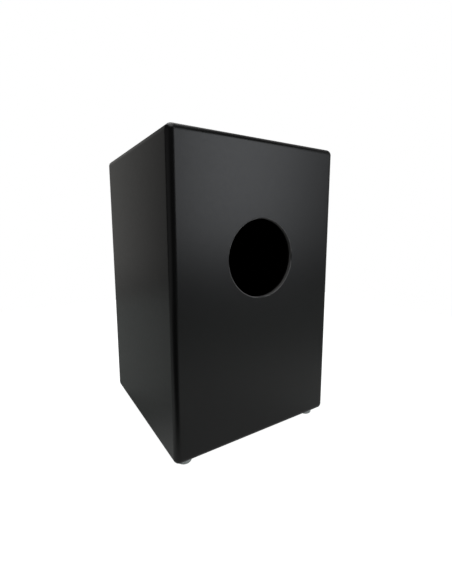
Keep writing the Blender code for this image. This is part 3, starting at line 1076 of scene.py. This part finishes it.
@dataclass
class PlayingFace:
    """The tapa and the screws round it."""

    screw: CrossScrew = field(
        default_factory=lambda: CrossScrew(0.016, 0.00175, 0.0035, 0.0036, 0.0014)
    )
    hole_flat: float = 0.0012
    hole_gap: float = 0.0002
    hole_soft: float = 0.0002
    hole_sink: float = 0.0007
    hole_steps: int = 36

    def build(self, shell: Shell) -> None:
        """Makes the tapa with its countersunk holes, then its screws.

        Args:
            shell: The shell, whose rounding the tapa shares.
        """
        nodes = sorted(node for node in frame["nodes"] if node.startswith("tapa_screw"))
        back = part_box("tapa")[1].y
        mould = shell.block()
        mould.cut_away((0.0, back, 0.0), (0.0, 1.0, 0.0))
        front = shell.low.y
        for level in (front, back):
            mould.open_level(1, level)
        for node in nodes:
            head = heads_along(node, 1, -1.0)
            place = facing((head.x, front, head.z), (0.0, -1.0, 0.0))
            mould.turned(self.hole_profile(back - front), place, self.hole_steps)
        for level in (front, back):
            mould.fill_level(1, level)
        tapa = mould.piece("tapa_board", TAPA_STAIN, BOX, ["tapa"])
        finish_level(tapa, TAPA_BACK, 1, back)
        for node in nodes:
            head = heads_along(node, 1, -1.0)
            self.screw.fasten(node, facing(head, (0.0, -1.0, 0.0)), BOX)

    def hole_profile(self, thick: float) -> Profile:
        """A countersunk hole, from the front face down to the back.

        Args:
            thick: The tapa's thickness.

        Returns:
            Points as (radius, height).
        """
        head = self.screw.head + self.hole_gap
        shank = self.screw.shank + self.hole_gap
        return [
            (head + self.hole_flat, 0.0),
            (head + self.hole_soft, 0.0),
            (head, -self.hole_soft),
            (head, -self.hole_sink),
            (shank, -self.hole_sink - (head - shank)),
            (shank, -thick),
            (shank + self.hole_flat, -thick),
        ]


@dataclass
class Foot:
    """A rubber foot, its washer and its screw."""

    top_radius: float = 0.0125
    bottom_radius: float = 0.0118
    rounding: float = 0.0028
    bore: float = 0.0023
    recess: float = 0.0060
    recess_depth: float = 0.006
    recess_soft: float = 0.0003
    top_soft: float = 0.0005
    mouth: float = 0.0006
    side_slope: float = 4.0
    rounding_facets: int = 9
    mouth_facets: int = 4
    washer_soft: float = 0.00015
    washer_steps: int = 48
    steps: int = 72
    screw: CrossScrew = field(
        default_factory=lambda: CrossScrew(
            0.015, 0.0020, 0.0042, 0.0042, 0.0014, crown=0.0022, finish=BRIGHT_STEEL
        )
    )

    def build(self, corner: str) -> None:
        """Makes the foot under one corner.

        Args:
            corner: The end of its nodes' names.
        """
        low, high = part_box(f"foot_{corner}")
        base = Vector(((low.x + high.x) / 2, (low.y + high.y) / 2, 0.0))
        mould = Mould()
        mould.turned(self.profile(high.z), Matrix.Translation(base), self.steps, ring=True)
        mould.piece(f"foot_rubber_{corner}", GREY_RUBBER, BOX, [f"foot_{corner}"])
        self.washer(f"foot_washer_{corner}")
        node = f"foot_screw_{corner}"
        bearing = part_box(f"foot_washer_{corner}")[0].z - GAP
        self.screw.fasten(node, facing((base.x, base.y, bearing), (0.0, 0.0, -1.0)), BOX)

    def profile(self, top: float) -> Profile:
        """The foot's outline, round from its top.

        Args:
            top: The height of its top face.

        Returns:
            Points as (radius, height).
        """
        rounding, mouth = self.rounding, self.mouth
        return [
            (self.bore, top),
            (self.top_radius - self.top_soft, top),
            (self.top_radius, top - self.top_soft),
            *arc(
                (self.bottom_radius - rounding, rounding),
                rounding,
                self.side_slope,
                -90,
                self.rounding_facets,
            ),
            *arc((self.recess + mouth, mouth), mouth, 270, 180, self.mouth_facets),
            (self.recess, self.recess_depth - self.recess_soft),
            (self.recess - self.recess_soft, self.recess_depth),
            (self.bore, self.recess_depth),
        ]

    def washer(self, node: str) -> None:
        """The washer inside the foot.

        Args:
            node: Its CAD node.
        """
        low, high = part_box(node)
        half, soft = (high.z - low.z) / 2, self.washer_soft
        outer = (high.x - low.x) / 2
        profile = [
            (self.bore, half - soft),
            (self.bore + soft, half),
            (outer - soft, half),
            (outer, half - soft),
            (outer, soft - half),
            (outer - soft, -half),
            (self.bore + soft, -half),
            (self.bore, soft - half),
        ]
        mould = Mould()
        place = Matrix.Translation(middle(node))
        mould.turned(profile, place, self.washer_steps, ring=True)
        mould.piece(f"{node}_steel", BRIGHT_STEEL, BOX, [node])


@dataclass
class SnareFan:
    """One fan of coiled wires on its steel plate, leaning from the bar to the tapa."""

    coils: int = 10
    coil_radius: float = 0.0011
    wire_radius: float = 0.00024
    coil_pitch: float = 0.0014
    steps_a_turn: int = 9
    wire_sides: int = 6
    length: float = 0.100
    root_pitch: float = 0.0056
    tip_pitch: float = 0.0078
    root_height: float = -0.004
    plate_width: float = 0.070
    plate_height: float = 0.014
    plate_thickness: float = 0.0012
    plate_front: float = -0.0105
    plate_round: float = 0.0003
    plate_facets: int = 3
    ridge_heads: float = 2.4
    ridge_proud: float = 0.0013
    ridge_bite: float = 0.0004
    ridge_below: float = 0.0008
    ridge_above: float = 0.0030
    ridge_round: float = 0.0008
    ridge_facets: int = 4
    wire_sink: float = 0.0004
    screw_spread: float = 0.0305
    screw: CrossScrew = field(
        default_factory=lambda: CrossScrew(
            0.012, 0.0013, 0.0027, 0.0028, 0.0009, crown=0.0016, finish=BRIGHT_STEEL
        )
    )

    def build(self, side: str, centre: float, hub: Matrix) -> None:
        """Makes the plate with its coils, and the two screws that hold it.

        Args:
            side: left or right.
            centre: The fan's middle along the bar.
            hub: Where the bar's axis stands, leant with the fan.
        """
        mould = Mould()
        self.add_plate(mould, centre)
        strand = self.strand()
        for place in self.strand_places(centre):
            copy = strand.copy()
            copy.transform(place)
            mould.shape.from_mesh(copy)
            bpy.data.meshes.remove(copy)
        bpy.data.meshes.remove(strand)
        bmesh.ops.transform(mould.shape, matrix=hub, verts=mould.shape.verts)
        node = f"snare_wires_{side}"
        mould.piece(f"snare_coils_{side}", BRIGHT_STEEL, SNARE, [node], crease=50.0)
        front = self.plate_front - GAP
        for end, sign in (("inner", -1.0), ("outer", 1.0)):
            x = centre + sign * math.copysign(self.screw_spread, centre)
            place = hub @ facing((x, front, 0.0), (0.0, -1.0, 0.0))
            self.screw.fasten(f"plate_screw_{side}_{end}", place, SNARE)

    def add_plate(self, mould: Mould, centre: float) -> None:
        """Adds the plate, and the ridge of solder that holds the roots of the coils.

        Args:
            mould: Where they go.
            centre: The fan's middle along the bar.
        """
        front, root = self.plate_front, self.root_height
        half_width, half_height = self.plate_width / 2, self.plate_height / 2
        low = Vector((centre - half_width, front, -half_height))
        high = Vector((centre + half_width, front + self.plate_thickness, half_height))
        mould.rounded_box(low, high, self.plate_round, self.plate_facets)
        ridge = half_width - self.ridge_heads * self.screw.head
        low = Vector((centre - ridge, front - self.ridge_proud, root - self.ridge_below))
        high = Vector((centre + ridge, front + self.ridge_bite, root + self.ridge_above))
        mould.rounded_box(low, high, self.ridge_round, self.ridge_facets)

    def strand(self) -> bpy.types.Mesh:
        """One coil of wire, along local +Z from its root.

        Returns:
            The coil's mesh.
        """
        mould = Mould()
        shape = mould.shape
        place = Matrix.Translation((self.coil_radius - self.wire_radius, 0.0, 0.0))
        across = Matrix.Rotation(math.radians(90), 4, "X")
        made = bmesh.ops.create_circle(
            shape, segments=self.wire_sides, radius=self.wire_radius, matrix=place @ across
        )
        turns = round(self.length / self.coil_pitch)
        bmesh.ops.spin(
            shape,
            geom=[*made["verts"], *edges_at(made["verts"])],
            cent=(0.0, 0.0, 0.0),
            axis=(0.0, 0.0, 1.0),
            dvec=(0.0, 0.0, self.length / (turns * self.steps_a_turn)),
            angle=math.tau * turns,
            steps=turns * self.steps_a_turn,
        )
        bmesh.ops.remove_doubles(shape, verts=shape.verts, dist=MERGE)
        mould.close()
        return mould.finish_mesh("strand")

    def strand_places(self, centre: float) -> list[Matrix]:
        """Where each coil's root stands and which way it spreads.

        Args:
            centre: The fan's middle along the bar.

        Returns:
            A matrix for each coil.
        """
        front = self.plate_front + self.wire_sink - self.coil_radius
        places = []
        for i in range(self.coils):
            step = i - (self.coils - 1) / 2
            root = Vector((centre + step * self.root_pitch, front, self.root_height))
            rise = (self.tip_pitch - self.root_pitch) * step
            places.append(facing(root, (rise, 0.0, self.length)))
        return places


@dataclass(frozen=True)
class WingStep:
    """One step in drawing a wing out: how far it goes, and how its end is scaled there."""

    outward: float
    upward: float
    tall: float
    thin: float


@dataclass
class WingScrew:
    """The wing screw that locks the bar, cast smooth."""

    shank: float = 0.0025
    hub: float = 0.0048
    hub_height: float = 0.0075
    hub_sides: int = 8
    hub_taper: float = 0.8
    standoff: float = 0.002
    neck: float = 0.0004
    collar: float = 0.0012
    tip: float = 0.0010
    wing: tuple[WingStep, ...] = (
        WingStep(0.0022, 0.0006, 0.80, 0.55),
        WingStep(0.0034, 0.0022, 1.15, 0.80),
        WingStep(0.0028, 0.0016, 0.62, 0.80),
    )

    def build(self) -> None:
        """Makes the screw as one smooth casting."""
        low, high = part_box("snare_lock_screw")
        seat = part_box("snare_block_right")[1].y
        centre = Vector(((low.x + high.x) / 2, seat, (low.z + high.z) / 2))
        mould = Mould()
        shape = mould.shape
        lift = Matrix.Translation((0.0, 0.0, self.standoff + self.hub_height / 2))
        turn = Matrix.Rotation(math.pi / self.hub_sides, 4, "Z")
        bmesh.ops.create_cone(
            shape,
            cap_ends=True,
            segments=self.hub_sides,
            radius1=self.hub,
            radius2=self.hub_taper * self.hub,
            depth=self.hub_height,
            matrix=lift @ turn,
        )
        for sign in (-1.0, 1.0):
            self.add_wing(mould, sign)
        self.add_shank(mould, seat - low.y)
        place = facing(centre, (0.0, 1.0, 0.0))
        bmesh.ops.transform(shape, matrix=place, verts=shape.verts)
        cast = mould.piece("lock_wing_screw", BRIGHT_STEEL, LOCK, ["snare_lock_screw"], crease=80)
        smooth = cast.modifiers.new("cast", "SUBSURF")
        smooth.levels = smooth.render_levels = 2

    def add_wing(self, mould: Mould, sign: float) -> None:
        """Draws one wing out of the hub's side.

        Args:
            mould: The casting.
            sign: Which way the wing goes along local X.
        """
        shape = mould.shape
        side = max(shape.faces, key=lambda face: face.normal.x * sign)
        for step in self.wing:
            made = bmesh.ops.extrude_discrete_faces(shape, faces=[side])
            side = made["faces"][0]
            shift = Vector((sign * step.outward, 0.0, step.upward))
            squeeze = Matrix.Diagonal((1.0, step.thin, step.tall, 1.0))
            about = Matrix.Translation(side.calc_center_median())
            change = Matrix.Translation(shift) @ about @ squeeze @ about.inverted()
            bmesh.ops.transform(shape, matrix=change, verts=side.verts)
            side.normal_update()

    def add_shank(self, mould: Mould, depth: float) -> None:
        """Draws the shank down from the hub.

        Args:
            mould: The casting.
            depth: How far its tip lies below the local origin.
        """
        shape = mould.shape
        under = min(shape.faces, key=lambda face: face.calc_center_median().z)
        bmesh.ops.inset_individual(shape, faces=[under], thickness=self.hub - self.shank)
        plain = self.standoff + depth - self.neck - self.collar - self.tip
        for drop in (self.neck, self.collar, plain, self.tip):
            made = bmesh.ops.extrude_discrete_faces(shape, faces=[under])
            under = made["faces"][0]
            bmesh.ops.translate(shape, verts=under.verts, vec=(0.0, 0.0, -drop))


@dataclass
class Snare:
    """The bar, its blocks and block screws, its two fans and its lock."""

    lean_deg: float = 12.18
    fan_centre: float = 0.066
    fan: SnareFan = field(default_factory=SnareFan)
    lock: WingScrew = field(default_factory=WingScrew)
    block_screw: CrossScrew = field(
        default_factory=lambda: CrossScrew(0.034, 0.00175, 0.0035, 0.0036, 0.0014)
    )

    def build(self) -> None:
        """Dresses the bar and blocks, and makes the fans, the screws and the lock."""
        swing = next(joint for joint in frame["joints"] if joint["child"] == SNARE)
        lean = Matrix.Rotation(math.radians(self.lean_deg), 4, "X")
        hub = Matrix.Translation(swing["pos_m"]) @ lean
        for side, sign in SIDES:
            self.fan.build(side, sign * self.fan_centre, hub)
            dress(f"snare_block_{side}", BEECH)
            for level in ("lower", "upper"):
                node = f"block_screw_{side}_{level}"
                head = heads_along(node, 0, -sign)
                self.block_screw.fasten(node, facing(head, (-sign, 0.0, 0.0)), BOX)
        dress("snare_bar", BEECH)
        dress("lock_screw_insert", BRASS)
        self.lock.build()


@dataclass
class Frames:
    """The battens behind the tapa and the strips inside the rear board."""

    upright: Finish = UPRIGHT_STRIP
    level: Finish = LEVEL_STRIP

    def build(self) -> None:
        """Dresses each strip with its grain along it."""
        for prefix in ("front_batten", "rear_strip"):
            for place in ("left", "right"):
                dress(f"{prefix}_{place}", self.upright)
            for place in ("top", "bottom"):
                dress(f"{prefix}_{place}", self.level)


# The studio


@dataclass(frozen=True)
class SoftBox:
    """A soft box far from the object. Azimuth 0 is the tapa's side and 90 is the right side."""

    azimuth: float
    elevation: float
    width: float
    height: float
    power: float
    blur: float = 8.0
    tint: Triple = (1.0, 1.0, 1.0)
    ahead: Span = (0.0, 0.1)

    def axes(self) -> tuple[Vector, Vector, Vector]:
        """Its directions seen from the object.

        Returns:
            Across it, up it, and towards its middle.
        """
        turn, rise = math.radians(self.azimuth), math.radians(self.elevation)
        across = Vector((math.cos(turn), math.sin(turn), 0.0))
        level = Vector((math.sin(turn), -math.cos(turn), 0.0))
        middle_way = level * math.cos(rise) + Vector((0.0, 0.0, math.sin(rise)))
        return across, across.cross(middle_way) * -1.0, middle_way


    def add_to(self, nodes: Nodes, way: Socket, light: Socket) -> Socket:
        """Adds the soft box to the light that comes from every direction.

        Args:
            nodes: The room's nodes.
            way: The direction looked in.
            light: The light so far.

        Returns:
            The socket that gives the sum.
        """
        across, upward, forward = self.axes()
        blur = math.radians(self.blur)
        inside = []
        for axis, size in ((across, self.width), (upward, self.height)):
            half = math.radians(size / 2)
            edge = (math.sin(half + blur), math.sin(half - blur))
            reach = nodes.add("Math", operation="ABSOLUTE")
            nodes.join(self.aim(nodes, way, axis), reach.inputs[0])
            inside.append(nodes.span(reach.outputs["Value"], 0.0, 1.0, edge, soft=True))
        ahead = nodes.span(self.aim(nodes, way, forward), 0.0, 1.0, self.ahead, soft=True)
        share = nodes.times(nodes.times(inside[0], inside[1]), ahead)
        glow = nodes.scaled(tuple(self.power * part for part in self.tint), share)
        total = nodes.add("VectorMath", operation="ADD")
        nodes.join(light, total.inputs[0])
        nodes.join(glow, total.inputs[1])
        return total.outputs["Vector"]

    @staticmethod
    def aim(nodes: Nodes, way: Socket, axis: Vector) -> Socket:
        """How far a direction points along an axis.

        Args:
            nodes: The room's nodes.
            way: The direction.
            axis: The axis.

        Returns:
            The socket that gives it, from -1 to 1.
        """
        node = nodes.add("VectorMath", operation="DOT_PRODUCT")
        node.inputs[1].default_value = axis
        nodes.join(way, node.inputs[0])
        return node.outputs["Value"]


@dataclass
class Floor:
    """A wide pale floor, plain white to the eye, whose edge is lost in the white behind it.

    The drum's gloss shows it with a painted pool of light behind the drum, and with painted shade past
    the drum's rear right corner, where the floor would lie unlit; both are painted into the floor, not
    cast by lamps.
    """

    size: float = 2.2
    shade: Triple = (0.384, 0.404, 0.392)
    glow: float = 1.0
    # Painted pool of light: a glow on the floor behind the drum, for every ray but the eye's.
    patch_light: float = 0.20
    patch_reach: Span = (0.30, 0.80)
    patch_from_y: Span = (-0.04, 0.16)
    # Painted shade: how much the floor is darkened past the drum's rear right corner, where it would
    # lie unlit.
    painted_shade_strength: float = 0.9
    painted_shade_from_x: Span = (0.06, 0.22)
    painted_shade_from_y: Span = (0.10, 0.28)

    def build(self) -> None:
        """Lays the floor under the drum."""
        mesh = bpy.data.meshes.new("floor")
        shape = bmesh.new()
        bmesh.ops.create_grid(shape, x_segments=2, y_segments=2, size=self.size / 2)
        shape.to_mesh(mesh)
        shape.free()
        floor = bpy.data.objects.new("floor", mesh)
        bpy.context.scene.collection.objects.link(floor)
        paint = bpy.data.materials.new("pale_floor")
        self.paint(Nodes(paint))
        mesh.materials.append(paint)

    def paint(self, nodes: Nodes) -> None:
        """Lays out the floor's nodes: a plain shade with painted shade in it, one glow for the eye, and
        one painted pool of light for the gloss.

        Args:
            nodes: Where they go.
        """
        spot = nodes.place()
        sides = nodes.add("SeparateXYZ")
        nodes.join(spot, sides.inputs["Vector"])
        far = nodes.add("VectorMath", operation="LENGTH")
        nodes.join(spot, far.inputs[0])
        # Painted pool of light behind the drum, shown to every ray but the eye's.
        patch = nodes.times(
            nodes.span(far.outputs["Value"], self.patch_light, 0.0, self.patch_reach, soft=True),
            nodes.span(sides.outputs["Y"], 0.0, 1.0, self.patch_from_y, soft=True),
        )
        # Painted shade past the drum's rear right corner; it darkens both the floor's colour and its
        # painted pool of light.
        painted_shade_mask = nodes.times(
            nodes.span(sides.outputs["X"], 0.0, 1.0, self.painted_shade_from_x, soft=True),
            nodes.span(sides.outputs["Y"], 0.0, 1.0, self.painted_shade_from_y, soft=True),
        )
        # The share of the floor's colour and glow left after the painted shade.
        bare = nodes.span(painted_shade_mask, 1.0, 1.0 - self.painted_shade_strength, soft=True)
        plain = nodes.add("BsdfDiffuse")
        nodes.join(nodes.scaled(self.shade, bare), plain.inputs["Color"])
        reflected, seen = nodes.add("Emission"), nodes.add("Emission")
        nodes.join(nodes.times(patch, bare), reflected.inputs["Strength"])
        seen.inputs["Strength"].default_value = self.glow
        glow = nodes.seen_apart(reflected.outputs["Emission"], seen.outputs["Emission"])
        both = nodes.add("AddShader")
        nodes.join(plain.outputs["BSDF"], both.inputs[0])
        nodes.join(glow, both.inputs[1])
        nodes.join(both.outputs["Shader"], nodes.add("OutputMaterial").inputs["Surface"])


@dataclass
class Studio:
    """The floor, the light and the camera."""

    floor: Floor = field(default_factory=Floor)
    ambient: float = 0.04
    boxes: tuple[SoftBox, ...] = (
        SoftBox(213.5, 12.5, 21.0, 33.0, 2.38, 5.5, (0.96, 0.99, 1.03)),
        SoftBox(5.0, 7.0, 28.0, 36.0, 0.34, 8.0, (1.01, 1.0, 0.96)),
        SoftBox(150.0, 71.0, 42.0, 38.0, 1.7, 9.0),
        SoftBox(300.0, 46.0, 50.0, 26.0, 0.3, 10.0),
        SoftBox(355.0, 66.0, 40.0, 26.0, 2.4, 7.0),
        SoftBox(290.0, 5.0, 90.0, 50.0, 0.3, 10.0),
        SoftBox(88.0, -2.0, 60.0, 44.0, 0.16, 12.0),
    )
    eye: Triple = (0.31616, 0.5465, 0.3462)
    right: Triple = (-0.84640, 0.53255, -0.00270)
    up: Triple = (-0.07800, -0.11894, 0.98983)
    back: Triple = (0.52681, 0.83800, 0.14221)
    lens: float = 20.33
    sensor: float = 36.0
    shift: Span = (0.0024, -0.0267)
    nearest: float = 0.01

    def build(self) -> None:
        """Lays the floor, lights the room and sets up the camera."""
        self.floor.build()
        self.light_room()
        self.set_camera()
        view = bpy.context.scene.view_settings
        view.view_transform = "Standard"
        view.look = "None"

    def light_room(self) -> None:
        """A dim room with soft boxes, seen as plain white behind the object."""
        world = bpy.data.worlds.new("studio")
        bpy.context.scene.world = world
        nodes = Nodes(world)
        way = nodes.add("TexCoord").outputs["Generated"]
        dim = nodes.add("CombineXYZ")
        for name in "XYZ":
            dim.inputs[name].default_value = self.ambient
        light = dim.outputs["Vector"]
        for box in self.boxes:
            light = box.add_to(nodes, way, light)
        room, white = nodes.add("Background"), nodes.add("Background")
        nodes.join(light, room.inputs["Color"])
        white.inputs["Color"].default_value = (1.0, 1.0, 1.0, 1.0)
        shown = nodes.seen_apart(room.outputs["Background"], white.outputs["Background"])
        nodes.join(shown, nodes.add("OutputWorld").inputs["Surface"])

    def set_camera(self) -> None:
        """A camera near the rear right corner, a little above the middle of the drum."""
        data = bpy.data.cameras.new("camera")
        data.lens = self.lens
        data.sensor_width = self.sensor
        data.shift_x, data.shift_y = self.shift
        data.clip_start = self.nearest
        camera = bpy.data.objects.new("camera", data)
        bpy.context.scene.collection.objects.link(camera)
        turn = Matrix((self.right, self.up, self.back)).transposed()
        camera.matrix_world = Matrix.Translation(self.eye) @ turn.to_4x4()
        bpy.context.scene.camera = camera


def main() -> None:
    """Builds every sub-assembly in order, then the studio."""
    logging.basicConfig(level=logging.INFO, format="%(name)s %(message)s")
    shell = Shell()
    shell.build()
    PlayingFace().build(shell)
    Frames().build()
    foot = Foot()
    for end in ("front", "rear"):
        for side, _ in SIDES:
            foot.build(f"{end}_{side}")
    Snare().build()
    Studio().build()


if __name__ == "__main__":
    main()
